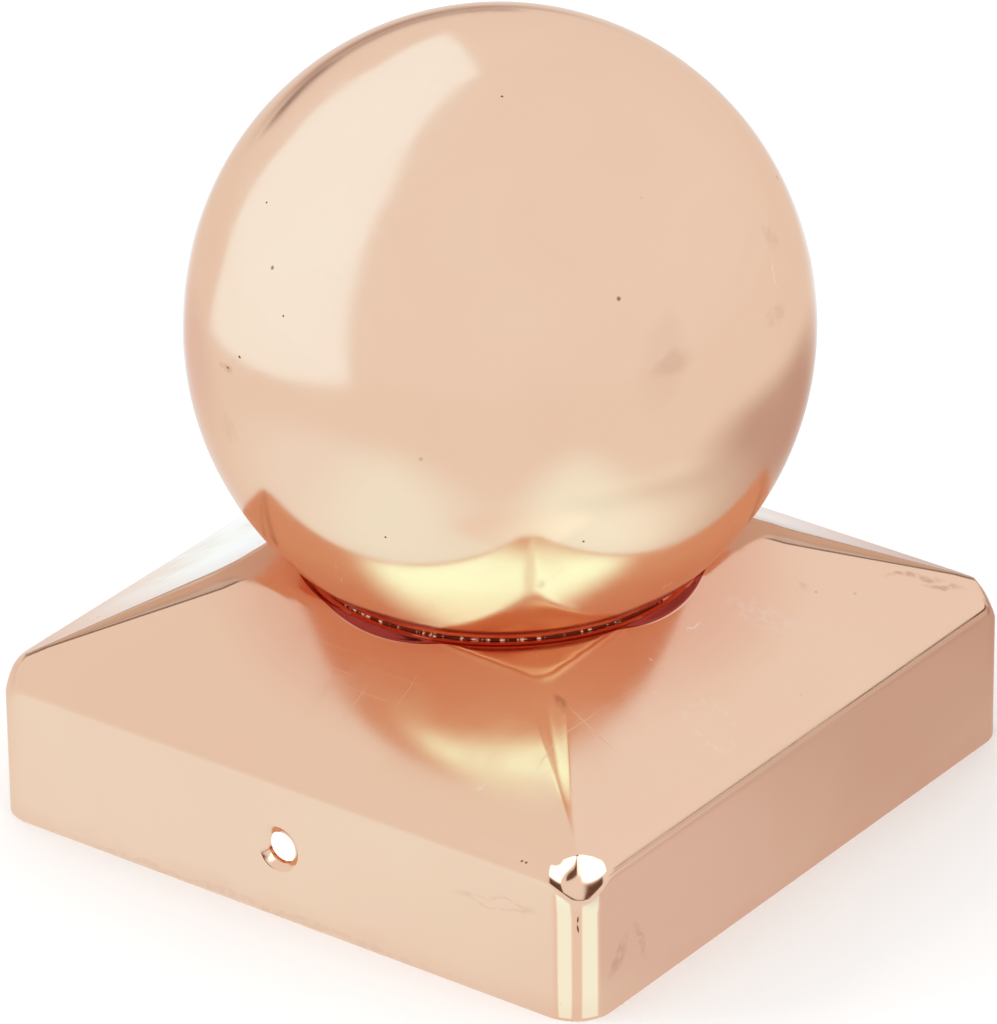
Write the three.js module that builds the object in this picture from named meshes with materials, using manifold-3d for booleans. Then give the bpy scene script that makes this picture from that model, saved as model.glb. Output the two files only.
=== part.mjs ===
// Ball post cap: a square cap pressed from thin copper sheet, with a hollow ball brazed on its crown.
// Millimetres, +Z up. The origin is the centre of the skirt's lower rim, and the nail holes face -Y and +Y.
import * as THREE from "three";
import { LoftGeometry } from "three/addons/geometries/LoftGeometry.js";
import { mergeVertices } from "three/addons/utils/BufferGeometryUtils.js";
import Module from "manifold-3d";

// Sheet and the post that it fits
const SHEET = 0.7;
const SOCKET_WIDTH = 71;

// Skirt: the eave height is where the planes of skirt and roof would meet
const HALF_WIDTH = SOCKET_WIDTH / 2 + SHEET;
const EAVE_HEIGHT = 15.74;
const EAVE_RADIUS = 3.2;
const CORNER_RADIUS = 4.2;

// Roof: four planes with hips that are sharp at the eave and soft at the crown
const ROOF_SLOPE = THREE.MathUtils.degToRad(28.8);
const HIP_RADIUS_LOW = 1.0;
const HIP_RADIUS_HIGH = 3.0;

// Crown: the flat top, with a shallow round seat pressed up in it
const CROWN_HEIGHT = 24.75;
const CROWN_RADIUS = 3.5;
const SEAT_RADIUS = 20.6;
const SEAT_HEIGHT = 25.05;

// Nail holes, countersunk, in the middle of two opposite walls
const HOLE_HEIGHT = 7.7;
const HOLE_RADIUS = 1.6;
const COUNTERSINK_RADIUS = 2.5;

// Ball: slightly taller than wide, with its foot cut flat on the seat
const BALL_RADIUS = 30.87;
const BALL_HALF_HEIGHT = 31.37;
const BALL_CENTRE_HEIGHT = 49.58;

// Facets
const CORNER_STEPS = 8;
const EAVE_STEPS = 6;
const ROOF_STEPS = 3;
const CROWN_STEPS = 4;
const HOLE_SIDES = 24;
const SEAT_SIDES = 72;
const BALL_SIDES = 60;
const BALL_STEPS = 28;
const MERGE_DISTANCE = 1e-4;

const COPPER = { color: 0xe9c4a9, metalness: 1, roughness: 0.12 };

const wasm = await Module();
wasm.setup();

// A closed three.js geometry as a solid that can be cut and joined.
function solidFrom(geometry) {
  const bare = new THREE.BufferGeometry();
  bare.setAttribute("position", geometry.getAttribute("position"));
  bare.setIndex(geometry.getIndex());
  const merged = mergeVertices(bare, MERGE_DISTANCE);
  const vertProperties = merged.getAttribute("position").array;
  const triVerts = new Uint32Array(merged.index.array);
  return new wasm.Manifold(new wasm.Mesh({ numProp: 3, vertProperties, triVerts }));
}

// The three.js geometry of a solid.
function geometryFrom(solid) {
  const { vertProperties, triVerts } = solid.getMesh();
  const geometry = new THREE.BufferGeometry();
  geometry.setAttribute("position", new THREE.BufferAttribute(vertProperties, 3));
  geometry.setIndex(new THREE.BufferAttribute(triVerts, 1));
  geometry.computeVertexNormals();
  return geometry;
}

// One level of the cap: a square with round corners, anticlockwise seen from above.
function roundedSquare({ halfWidth, corner, z }) {
  const points = [];
  for (let quarter = 0; quarter < 4; quarter++) {
    const middle = Math.PI / 4 + (quarter * Math.PI) / 2;
    const reach = (halfWidth - corner) * Math.SQRT2;
    const centre = new THREE.Vector2(Math.cos(middle), Math.sin(middle)).multiplyScalar(reach);
    for (let step = 0; step <= CORNER_STEPS; step++) {
      const angle = (quarter + step / CORNER_STEPS) * (Math.PI / 2);
      points.push(
        new THREE.Vector3(centre.x + corner * Math.cos(angle), centre.y + corner * Math.sin(angle), z),
      );
    }
  }
  return points;
}

// The levels from the rim to the crown, set in from the sheet's outer face by the given depth.
function capLevels(depth) {
  const bend = Math.PI / 2 - ROOF_SLOPE;
  const eaveCentreZ = EAVE_HEIGHT - EAVE_RADIUS * Math.tan(bend / 2);
  const eaveCentre = HALF_WIDTH - EAVE_RADIUS;
  const eaveRadius = EAVE_RADIUS - depth;
  const crownEdge = HALF_WIDTH - (CROWN_HEIGHT - EAVE_HEIGHT) / Math.tan(ROOF_SLOPE);
  const crownCentre = crownEdge - CROWN_RADIUS * Math.tan(ROOF_SLOPE / 2);
  const crownCentreZ = CROWN_HEIGHT - CROWN_RADIUS;
  const crownRadius = CROWN_RADIUS - depth;
  const levels = [{ halfWidth: HALF_WIDTH - depth, corner: CORNER_RADIUS - depth, z: -depth }];
  for (let step = 0; step <= EAVE_STEPS; step++) {
    const share = step / EAVE_STEPS;
    const angle = share * bend;
    levels.push({
      halfWidth: eaveCentre + eaveRadius * Math.cos(angle),
      corner: THREE.MathUtils.lerp(CORNER_RADIUS, HIP_RADIUS_LOW, share * share) - depth,
      z: eaveCentreZ + eaveRadius * Math.sin(angle),
    });
  }
  const eaveEnd = levels.at(-1);
  const crownStart = {
    halfWidth: crownCentre + crownRadius * Math.sin(ROOF_SLOPE),
    corner: HIP_RADIUS_HIGH - depth,
    z: crownCentreZ + crownRadius * Math.cos(ROOF_SLOPE),
  };
  for (let step = 1; step < ROOF_STEPS; step++) {
    const share = step / ROOF_STEPS;
    levels.push({
      halfWidth: THREE.MathUtils.lerp(eaveEnd.halfWidth, crownStart.halfWidth, share),
      corner: THREE.MathUtils.lerp(eaveEnd.corner, crownStart.corner, share),
      z: THREE.MathUtils.lerp(eaveEnd.z, crownStart.z, share),
    });
  }
  for (let step = 0; step <= CROWN_STEPS; step++) {
    const angle = (1 - step / CROWN_STEPS) * ROOF_SLOPE;
    levels.push({
      halfWidth: crownCentre + crownRadius * Math.sin(angle),
      corner: HIP_RADIUS_HIGH - depth,
      z: crownCentreZ + crownRadius * Math.cos(angle),
    });
  }
  return levels;
}

// A solid of revolution about Z from points of radius and height that start and end on the axis.
function turned(points, sides) {
  const geometry = new THREE.LatheGeometry(points, sides);
  geometry.rotateX(Math.PI / 2);
  return solidFrom(geometry);
}

// The filled form of the cap, with its seat, set in from the outer face by the given depth.
function capForm(depth) {
  const sections = capLevels(depth).map(roundedSquare);
  const roof = solidFrom(new LoftGeometry(sections, { capStart: true, capEnd: true }));
  const seatRadius = SEAT_RADIUS - depth;
  const seat = turned(
    [
      new THREE.Vector2(0, EAVE_HEIGHT),
      new THREE.Vector2(seatRadius - SHEET, EAVE_HEIGHT),
      new THREE.Vector2(seatRadius, SEAT_HEIGHT - depth - SHEET),
      new THREE.Vector2(seatRadius, SEAT_HEIGHT - depth),
      new THREE.Vector2(0, SEAT_HEIGHT - depth),
    ],
    SEAT_SIDES,
  );
  return roof.add(seat);
}

// The cutter of a countersunk nail hole, along the outward direction of its wall.
function holeCutter(outward) {
  const inside = HALF_WIDTH - 2 * SHEET;
  const outside = HALF_WIDTH + SHEET;
  const throat = HALF_WIDTH - SHEET;
  const flare = (COUNTERSINK_RADIUS - HOLE_RADIUS) * 2 + HOLE_RADIUS;
  const geometry = new THREE.LatheGeometry(
    [
      new THREE.Vector2(0, inside),
      new THREE.Vector2(HOLE_RADIUS, inside),
      new THREE.Vector2(HOLE_RADIUS, throat),
      new THREE.Vector2(flare, outside),
      new THREE.Vector2(0, outside),
    ],
    HOLE_SIDES,
  );
  if (outward < 0) geometry.rotateX(Math.PI);
  geometry.translate(0, 0, HOLE_HEIGHT);
  return solidFrom(geometry);
}

// The cap: its outer form, hollowed by the same form one sheet further in, with the two nail holes.
function capSolid() {
  let shell = capForm(0).subtract(capForm(SHEET));
  for (const outward of [-1, 1]) shell = shell.subtract(holeCutter(outward));
  return shell;
}

// The ball's outline from the foot's centre round to the top.
function ballProfile() {
  const footAngle = Math.asin((SEAT_HEIGHT - BALL_CENTRE_HEIGHT) / BALL_HALF_HEIGHT);
  const points = [new THREE.Vector2(0, SEAT_HEIGHT)];
  for (let step = 0; step < BALL_STEPS; step++) {
    const angle = THREE.MathUtils.lerp(footAngle, Math.PI / 2, step / BALL_STEPS);
    points.push(
      new THREE.Vector2(
        BALL_RADIUS * Math.cos(angle),
        BALL_CENTRE_HEIGHT + BALL_HALF_HEIGHT * Math.sin(angle),
      ),
    );
  }
  points.push(new THREE.Vector2(0, BALL_CENTRE_HEIGHT + BALL_HALF_HEIGHT));
  return points;
}

// A named piece in polished copper.
function piece(name, solid) {
  const mesh = new THREE.Mesh(geometryFrom(solid), new THREE.MeshStandardMaterial(COPPER));
  mesh.name = name;
  return mesh;
}

const postCap = new THREE.Group();
postCap.add(piece("cap", capSolid()));
postCap.add(piece("ball", turned(ballProfile(), BALL_SIDES)));

export default postCap;
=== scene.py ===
"""A polished copper ball cap for a square fence post, in a pale studio.

One square cap, pressed from copper sheet, carries one copper ball on a round seat. A thin
braze line joins the two. All sizes are in metres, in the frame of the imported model.
"""

import logging
import math
from dataclasses import dataclass
from enum import Enum
from typing import Callable

import bmesh
import bpy
from mathutils import Matrix, Vector, noise


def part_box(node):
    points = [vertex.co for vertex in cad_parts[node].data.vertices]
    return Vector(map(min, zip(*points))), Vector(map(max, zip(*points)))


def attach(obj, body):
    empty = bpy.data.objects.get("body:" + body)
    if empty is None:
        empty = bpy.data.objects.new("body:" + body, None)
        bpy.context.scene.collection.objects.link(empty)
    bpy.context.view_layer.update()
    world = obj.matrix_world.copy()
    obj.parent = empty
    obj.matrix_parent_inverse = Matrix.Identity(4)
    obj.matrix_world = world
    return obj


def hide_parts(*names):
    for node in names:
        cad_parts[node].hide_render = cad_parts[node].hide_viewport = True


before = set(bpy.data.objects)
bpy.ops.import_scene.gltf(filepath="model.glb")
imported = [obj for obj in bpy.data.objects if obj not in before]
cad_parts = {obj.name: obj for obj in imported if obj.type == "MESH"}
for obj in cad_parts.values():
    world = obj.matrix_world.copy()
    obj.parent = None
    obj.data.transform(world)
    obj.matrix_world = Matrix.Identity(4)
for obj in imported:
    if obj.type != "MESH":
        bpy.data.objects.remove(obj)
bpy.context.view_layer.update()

LOG = logging.getLogger("post_cap")
BODY = "root"
RING_EDGE = 0.8
Colour = tuple[float, float, float, float]


class Slot(Enum):
    """The record's material slots."""

    CAP = "copper_cap"
    BALL = "copper_ball"


def blend(start: float, end: float, share: float) -> float:
    """Gives the value that lies a share of the way from start to end."""
    return start + (end - start) * share


def soft_step(start: float, end: float, value: float) -> float:
    """Rises smoothly from 0 at start to 1 at end, which may lie on either side of it."""
    share = min(max((value - start) / (end - start), 0.0), 1.0)
    return share * share * (3.0 - 2.0 * share)


def soft_min(first: float, second: float, reach: float) -> float:
    """Gives the lower of two heights, rounded off where they differ by less than reach."""
    near = max(reach - abs(first - second), 0.0) / reach
    return min(first, second) - near * near * reach / 4.0


class Signal:
    """A node's output, which takes part in Python arithmetic by adding Math nodes."""

    def __init__(self, sheet: "NodeSheet", socket: bpy.types.NodeSocket) -> None:
        """Keeps the socket and the sheet that it is drawn on."""
        self.sheet = sheet
        self.socket = socket

    def _math(self, operation: str, first: "Signal | float", second: "Signal | float") -> "Signal":
        """Adds one Math node and gives its output."""
        node = self.sheet.add("ShaderNodeMath", {"operation": operation}, {0: first, 1: second})
        return self.sheet.out(node)

    def __add__(self, other: "Signal | float") -> "Signal":
        """Adds."""
        return self._math("ADD", self, other)

    def __radd__(self, other: float) -> "Signal":
        """Adds to a number."""
        return self._math("ADD", other, self)

    def __sub__(self, other: "Signal | float") -> "Signal":
        """Takes away."""
        return self._math("SUBTRACT", self, other)

    def __rsub__(self, other: float) -> "Signal":
        """Is taken away from a number."""
        return self._math("SUBTRACT", other, self)

    def __mul__(self, other: "Signal | float") -> "Signal":
        """Multiplies."""
        return self._math("MULTIPLY", self, other)

    def __rmul__(self, other: float) -> "Signal":
        """Multiplies a number."""
        return self._math("MULTIPLY", other, self)

    def __truediv__(self, other: "Signal | float") -> "Signal":
        """Divides."""
        return self._math("DIVIDE", self, other)

    def size(self) -> "Signal":
        """Gives the value without its sign."""
        return self._math("ABSOLUTE", self, 0.0)

    def at_most(self, other: "Signal | float") -> "Signal":
        """Gives the smaller of the two."""
        return self._math("MINIMUM", self, other)

    def at_least(self, other: "Signal | float") -> "Signal":
        """Gives the larger of the two."""
        return self._math("MAXIMUM", self, other)


Value = Signal | float


class NodeSheet:
    """A node tree that is drawn by one method for every kind of node."""

    def __init__(self, tree: bpy.types.NodeTree) -> None:
        """Clears the tree and keeps it."""
        self.tree = tree
        tree.nodes.clear()

    def add(self, kind: str, settings: dict | None = None, sockets: dict | None = None) -> bpy.types.Node:
        """Adds one node.

        Args:
            kind: the node's type.
            settings: its properties, which are set first.
            sockets: a value or a Signal for each named or numbered input.

        Returns:
            The node.
        """
        node = self.tree.nodes.new(kind)
        for name, value in (settings or {}).items():
            setattr(node, name, value)
        for key, value in (sockets or {}).items():
            if isinstance(value, Signal):
                self.tree.links.new(value.socket, node.inputs[key])
            else:
                node.inputs[key].default_value = value
        return node

    def out(self, node: bpy.types.Node, key: int | str = 0) -> Signal:
        """Gives one of a node's outputs as a Signal."""
        return Signal(self, node.outputs[key])

    def place(self) -> Signal:
        """Gives the Object coordinates, in metres."""
        return self.out(self.add("ShaderNodeTexCoord"), "Object")

    def stretched(self, place: Signal, scale: tuple, turn: tuple = (0.0, 0.0, 0.0)) -> Signal:
        """Gives the coordinates turned and then stretched along each axis."""
        node = self.add("ShaderNodeMapping", {"vector_type": "POINT"},
                        {"Vector": place, "Scale": scale, "Rotation": turn})
        return self.out(node)

    def cloud(self, place: Signal, scale: float, detail: float = 2.0, warp: float = 0.0) -> Signal:
        """Gives noise around 0.5 with about scale lumps a metre."""
        node = self.add("ShaderNodeTexNoise", {"noise_dimensions": "3D"},
                        {"Vector": place, "Scale": scale, "Detail": detail, "Distortion": warp})
        return self.out(node, "Fac")

    def window(self, value: Value, start: float, end: float) -> Signal:
        """Gives 0 at start, 1 at end and a smooth rise between them."""
        node = self.add("ShaderNodeMapRange", {"interpolation_type": "SMOOTHSTEP"},
                        {"Value": value, "From Min": start, "From Max": end})
        return self.out(node)

    def mixed(self, share: Value, first: "Signal | Colour", second: "Signal | Colour") -> Signal:
        """Gives a colour between two colours."""
        node = self.add("ShaderNodeMix", {"data_type": "RGBA"}, {0: share, 6: first, 7: second})
        return self.out(node, 2)

    def dot(self, vector: Signal, direction: Vector) -> Signal:
        """Gives how far a vector reaches along a direction."""
        node = self.add("ShaderNodeVectorMath", {"operation": "DOT_PRODUCT"},
                        {0: vector, 1: tuple(direction)})
        return self.out(node, "Value")

    def length(self, vector: Signal) -> Signal:
        """Gives a vector's length."""
        node = self.add("ShaderNodeVectorMath", {"operation": "LENGTH"}, {0: vector})
        return self.out(node, "Value")

    def axis(self, vector: Signal, name: str) -> Signal:
        """Gives a vector's X, Y or Z."""
        return self.out(self.add("ShaderNodeSeparateXYZ", None, {"Vector": vector}), name)


class Face(Enum):
    """The way that each visible face of the cap looks."""

    FRONT_WALL = (0.0, -1.0, 0.0)
    RIGHT_WALL = (1.0, 0.0, 0.0)
    CORNER = (0.66, -0.75, 0.0)
    FRONT_ROOF = (0.0, -0.482, 0.876)
    RIGHT_ROOF = (0.482, 0.0, 0.876)
    HIP = (0.37, -0.25, 0.90)


@dataclass(frozen=True)
class Mark:
    """One mark on the surface, of wear, painted shade or painted reflection: an ellipse, in metres and in
    degrees from the level.
    """

    centre: tuple[float, float, float]
    facing: tuple[float, float, float]
    half_length: float
    half_width: float
    turn: float = 0.0
    weight: float = 1.0
    core: float = 0.35
    hollow: float = 0.0
    depth: float = 0.003

    def mask(self, sheet: NodeSheet, place: Signal) -> Signal:
        """Gives the mark's weight inside it and 0 outside it.

        Args:
            sheet: the nodes that it is drawn with.
            place: the place on the piece.

        Returns:
            The mask, with soft edges, and with an open middle for a ring.
        """
        normal = Vector(self.facing).normalized()
        level = Vector((0.0, 0.0, 1.0)).cross(normal).normalized()
        turned = Matrix.Rotation(math.radians(self.turn), 3, normal) @ level
        axes = Matrix((turned, normal.cross(turned), normal)).transposed()
        node = sheet.add("ShaderNodeMapping", {"vector_type": "TEXTURE"}, {
            "Vector": place, "Location": self.centre, "Rotation": tuple(axes.to_euler()),
            "Scale": (self.half_length, self.half_width, self.depth)})
        length = sheet.length(sheet.out(node))
        mask = sheet.window(length, 1.0, self.core) * self.weight
        return mask * sheet.window(length, self.hollow * RING_EDGE, self.hollow) if self.hollow else mask


@dataclass(frozen=True)
class PolishedCopper:
    """Bright rolled copper, handled a little: soft haze, fine scratches, pits and its own marks, some of
    which are painted shade and painted reflections.
    """

    name: str
    stains_and_shade: tuple[Mark, ...] = ()
    scuffs: tuple[Mark, ...] = ()
    nicks: tuple[Mark, ...] = ()
    painted_reflections: tuple[Mark, ...] = ()
    rosy: Colour = (0.940, 0.645, 0.485, 1.0)
    golden: Colour = (0.955, 0.695, 0.512, 1.0)
    edge: Colour = (0.96, 0.85, 0.78, 1.0)
    # the colour of real stains, and of painted shade and painted dark reflections
    tarnish_and_painted_shade: Colour = (0.60, 0.33, 0.23, 1.0)
    bare: Colour = (0.98, 0.90, 0.85, 1.0)
    pit: Colour = (0.16, 0.08, 0.06, 1.0)
    # painted red reflection: the deep red of copper mirrored in copper, for the cap's seat and roof and for
    # the ball above its foot
    mirrored_red: Colour = (0.80, 0.34, 0.22, 1.0)
    smooth: float = 0.13
    hazy: float = 0.19
    scratch_rough: float = 0.10
    stain_rough: float = 0.08
    scuff_rough: float = 0.30
    speckle_scale: float = 1100.0
    haze_scale: float = 130.0
    tone_scale: float = 55.0
    ripple_scale: float = 260.0
    ripple_strength: float = 0.03
    ripple_height: float = 0.0002
    pit_scale: float = 420.0
    pit_share: float = 0.03
    pit_weight: float = 0.75
    warp: float = 0.0010
    warp_scale: float = 330.0
    patch_scale: float = 70.0

    def material(self) -> bpy.types.Material:
        """Builds the finish.

        Returns:
            The material, on Object coordinates.
        """
        material = bpy.data.materials.new(self.name)
        material.use_nodes = True
        sheet = NodeSheet(material.node_tree)
        place = sheet.place()
        uneven = self._uneven(sheet, place)
        speckle = sheet.cloud(place, self.speckle_scale, 1.0)
        haze = sheet.window(sheet.cloud(place, self.haze_scale, 2.0, 0.4), 0.42, 0.72)
        # real stains, and on the cap a line of painted shade along the foot of the front wall
        stain_and_shade = (self._marks(sheet, uneven, self.stains_and_shade) * sheet.window(speckle, 0.20, 0.62)).at_most(1.0)
        scuff = self._marks(sheet, uneven, self.scuffs) * sheet.window(speckle, 0.44, 0.60)
        pits = (self._pits(sheet, place) * self.pit_weight
                + self._marks(sheet, place, self.nicks)).at_most(1.0)
        tone = sheet.mixed(sheet.cloud(place, self.tone_scale, 2.0, 0.6), self.rosy, self.golden)
        tone = self._painted_light(sheet, place, tone)
        # painted reflections: dark patches painted where the ball mirrors a dark object
        tone = sheet.mixed(self._marks(sheet, uneven, self.painted_reflections), tone, self.tarnish_and_painted_shade)
        tone = sheet.mixed(stain_and_shade, tone, self.tarnish_and_painted_shade)
        tone = sheet.mixed(scuff, tone, self.bare)
        tone = sheet.mixed(pits, tone, self.pit)
        roughness = (self._polish(sheet, place, self.smooth + haze * (self.hazy - self.smooth))
                     + self._scratches(sheet, place) * self.scratch_rough
                     + stain_and_shade * self.stain_rough + scuff * self.scuff_rough)
        bump = sheet.add("ShaderNodeBump", None, {
            "Strength": self.ripple_strength, "Distance": self.ripple_height,
            "Height": sheet.cloud(place, self.ripple_scale, 1.0)})
        shader = sheet.add("ShaderNodeBsdfPrincipled", None, {
            "Base Color": tone, "Metallic": 1.0, "Roughness": roughness,
            "Specular Tint": self.edge, "Normal": sheet.out(bump)})
        sheet.add("ShaderNodeOutputMaterial", None, {"Surface": sheet.out(shader)})
        return material

    def _uneven(self, sheet: NodeSheet, place: Signal) -> Signal:
        """Gives the place moved a little to and fro, so that no mark keeps a clean outline.

        Args:
            sheet: the nodes that it is drawn with.
            place: the place on the piece.

        Returns:
            The moved place.
        """
        node = sheet.add("ShaderNodeTexNoise", {"noise_dimensions": "3D"},
                         {"Vector": place, "Scale": self.warp_scale, "Detail": 2.0})
        shift = sheet.add("ShaderNodeVectorMath", {"operation": "MULTIPLY_ADD"}, {
            0: sheet.out(node, "Color"), 1: (self.warp * 2.0,) * 3, 2: (-self.warp,) * 3})
        moved = sheet.add("ShaderNodeVectorMath", {"operation": "ADD"}, {0: place, 1: sheet.out(shift)})
        return sheet.out(moved)

    def _marks(self, sheet: NodeSheet, place: Signal, marks: tuple[Mark, ...]) -> Value:
        """Adds up the masks of some marks.

        Args:
            sheet: the nodes that they are drawn with.
            place: the place on the piece.
            marks: the marks.

        Returns:
            The sum, or 0 where there are none.
        """
        total = 0.0
        for mark in marks:
            total = total + mark.mask(sheet, place)
        return total

    def _scratches(self, sheet: NodeSheet, place: Signal) -> Signal:
        """Draws sparse fine scratches in two directions.

        Args:
            sheet: the nodes that it is drawn with.
            place: the place on the piece.

        Returns:
            1 on a scratch and 0 beside it.
        """
        first = sheet.cloud(sheet.stretched(place, (40.0, 2600.0, 40.0), (0.2, 0.5, 0.7)), 1.0, 1.0)
        second = sheet.cloud(sheet.stretched(place, (2200.0, 30.0, 60.0), (0.4, -0.3, 0.35)), 1.0, 1.0)
        patches = sheet.window(sheet.cloud(place, self.patch_scale, 2.0), 0.48, 0.66)
        lines = sheet.window(first, 0.66, 0.74) + sheet.window(second, 0.67, 0.75)
        return (lines * patches).at_most(1.0)

    def _pits(self, sheet: NodeSheet, place: Signal) -> Signal:
        """Draws small dark pits, one in a few cells of an uneven lattice.

        Args:
            sheet: the nodes that it is drawn with.
            place: the place on the piece.

        Returns:
            1 in a pit and 0 beside it.
        """
        node = sheet.add("ShaderNodeTexVoronoi", {"feature": "F1"},
                         {"Vector": place, "Scale": self.pit_scale})
        chosen = sheet.axis(sheet.out(node, "Color"), "X")
        spot = sheet.window(sheet.out(node, "Distance"), 0.13, 0.05)
        return spot * sheet.window(chosen, 1.0 - self.pit_share, 1.0 - self.pit_share * 0.5)

    def _painted_light(self, sheet: NodeSheet, place: Signal, tone: Signal) -> Signal:
        """Adds the piece's painted light, such as painted red reflection and painted shade: none on a plain
        piece.
        """
        return tone

    def _polish(self, sheet: NodeSheet, place: Signal, roughness: Signal) -> Signal:
        """Gives the roughness of the polish: the same all over a plain piece."""
        return roughness


@dataclass(frozen=True)
class CapCopper(PolishedCopper):
    """The cap's copper: a painted red reflection on the seat and the roof round it, a dark line round the
    seat, and painted shade along the hips and along the foot of the skirt.
    """

    line_radius: float = 0.02033
    line_half: float = 0.00024
    line_tone: Colour = (0.36, 0.045, 0.035, 1.0)
    # painted red reflection of the ball's foot on the seat, inside the dark line
    seat_reflection_tone: Colour = (0.74, 0.24, 0.18, 1.0)
    seat_reflection_weight: float = 0.5
    # painted red reflection of the ball on the roof round the seat
    glow_outer: float = 0.0315
    glow_inner: float = 0.0205
    glow_weight: float = 0.50
    # painted shade along the hips: dark edge lines and softer shade on the flanks
    hip_shade_tone: Colour = (0.20, 0.10, 0.07, 1.0)
    hip_shade_half: float = 0.00027
    hip_shade_weight: float = 0.85
    hip_shade_crown: tuple[float, float] = (0.0192, 0.0204)
    hip_shade_eave: tuple[float, float] = (0.0162, 0.0176)
    hip_shade_front: tuple[float, float] = (0.040, 0.020)
    flank_shade_weight: float = 0.5
    # painted shade along the foot of the skirt: a darker pinkish band where the copper mirrors the table's
    # shade
    foot_shade_tone: Colour = (0.86, 0.52, 0.39, 1.0)
    rim_height: float = 0.0030
    rim_soft: float = 0.0015
    foot_shade_weight: float = 0.30
    rim_scale: float = 240.0
    corner_start: float = 0.0640
    corner_full: float = 0.0665
    corner_gain: float = 0.5

    def _painted_light(self, sheet: NodeSheet, place: Signal, tone: Signal) -> Signal:
        """Adds the painted red reflection on the seat and the roof round it, the dark line round the seat,
        the painted shade along the hips and the painted shade along the foot of the skirt.

        Args:
            sheet: the nodes that they are drawn with.
            place: the place on the cap.
            tone: the plain copper's colour.

        Returns:
            The tinted colour.
        """
        level = sheet.add("ShaderNodeVectorMath", {"operation": "MULTIPLY"}, {0: place, 1: (1.0, 1.0, 0.0)})
        radius = sheet.length(sheet.out(level))
        height = sheet.axis(place, "Z") + sheet.cloud(place, self.rim_scale, 1.0) * self.rim_height
        seat = sheet.window(radius, self.line_radius + self.line_half, self.line_radius - self.line_half)
        glow = sheet.window(radius, self.glow_outer, self.glow_inner) * self.glow_weight
        line = sheet.window((radius - self.line_radius).size(), self.line_half, self.line_half * RING_EDGE)
        # rim: the band of painted shade along the foot of the skirt, with an uneven top edge
        rim = sheet.window(height, self.rim_height + self.rim_soft, self.rim_soft)
        # painted red reflection of the ball, on the roof round the seat and on the seat itself
        tone = sheet.mixed(glow, tone, self.mirrored_red)
        tone = sheet.mixed(seat * self.seat_reflection_weight, tone, self.seat_reflection_tone)
        tone = sheet.mixed(line, tone, self.line_tone)
        # painted shade along the hips
        tone = sheet.mixed(self._hip_shade(sheet, place) * self.hip_shade_weight, tone, self.hip_shade_tone)
        return sheet.mixed(rim * self.foot_shade_weight, tone, self.foot_shade_tone)

    def _polish(self, sheet: NodeSheet, place: Signal, roughness: Signal) -> Signal:
        """Gives a brighter polish to the four corners, where the press burnished them."""
        reach = sheet.axis(place, "X").size() + sheet.axis(place, "Y").size()
        corner = sheet.window(reach, self.corner_start, self.corner_full)
        return roughness * (1.0 - corner * self.corner_gain)

    def _hip_shade(self, sheet: NodeSheet, place: Signal) -> Signal:
        """Draws painted shade along both sides of the hips, except for the front one: a dark line at each
        edge and softer shade on the flanks.

        Args:
            sheet: the nodes that they are drawn with.
            place: the place on the cap.

        Returns:
            1 on a hip's painted dark edge line, less on its shaded flanks, and 0 elsewhere.
        """
        x, y = sheet.axis(place, "X"), sheet.axis(place, "Y")
        far = x.size().at_least(y.size())
        gap = far - x.size().at_most(y.size())
        rate = (CapShell.hip_high - CapShell.hip_low) / (CapShell.hip_fade - CapShell.hip_widest)
        spread = ((CapShell.hip_fade - far) * rate).at_least(0.0).at_most(CapShell.hip_high)
        edge = spread + CapShell.hip_low
        # crease: the painted dark line of shade along each edge of a hip
        crease = sheet.window((gap - edge).size(), self.hip_shade_half, self.hip_shade_half * 0.3)
        share = gap / edge
        flank_shade = sheet.window(share, 0.2, 1.0) * sheet.window(share, 1.02, 1.0) * self.flank_shade_weight
        height = sheet.axis(place, "Z")
        roof = sheet.window(far, *self.hip_shade_crown) * sheet.window(height, *self.hip_shade_eave)
        return crease.at_least(flank_shade) * roof * sheet.window(x - y, *self.hip_shade_front)


@dataclass(frozen=True)
class BallCopper(PolishedCopper):
    """The ball's copper, with a painted red reflection of the cap's roof just above its foot."""

    # the band of painted red reflection of the cap's roof, between these heights, and how strongly it shows
    red_low: float = 0.0254
    red_high: float = 0.0279
    red_weight: float = 0.45

    def _painted_light(self, sheet: NodeSheet, place: Signal, tone: Signal) -> Signal:
        """Adds the painted red reflection of the cap's roof above the foot."""
        share = sheet.window(sheet.axis(place, "Z"), self.red_high, self.red_low)
        return sheet.mixed(share * self.red_weight, tone, self.mirrored_red)


@dataclass(frozen=True)
class BrazeFinish:
    """Dark flux and oxide along the joint, with bright beads of filler."""

    name: str
    flux: Colour = (0.20, 0.04, 0.03, 1.0)
    filler: Colour = (0.96, 0.90, 0.86, 1.0)
    bead_scale: float = 1500.0
    flux_rough: float = 0.45
    bead_rough: float = 0.12

    def material(self) -> bpy.types.Material:
        """Builds the finish.

        Returns:
            The material, on Object coordinates.
        """
        material = bpy.data.materials.new(self.name)
        material.use_nodes = True
        sheet = NodeSheet(material.node_tree)
        place = sheet.place()
        beads = sheet.window(sheet.cloud(place, self.bead_scale, 4.0), 0.53, 0.60)
        colour = sheet.mixed(beads, self.flux, self.filler)
        roughness = self.flux_rough - beads * (self.flux_rough - self.bead_rough)
        shader = sheet.add("ShaderNodeBsdfPrincipled", None, {
            "Base Color": colour, "Metallic": 1.0, "Roughness": roughness})
        sheet.add("ShaderNodeOutputMaterial", None, {"Surface": sheet.out(shader)})
        return material


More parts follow.
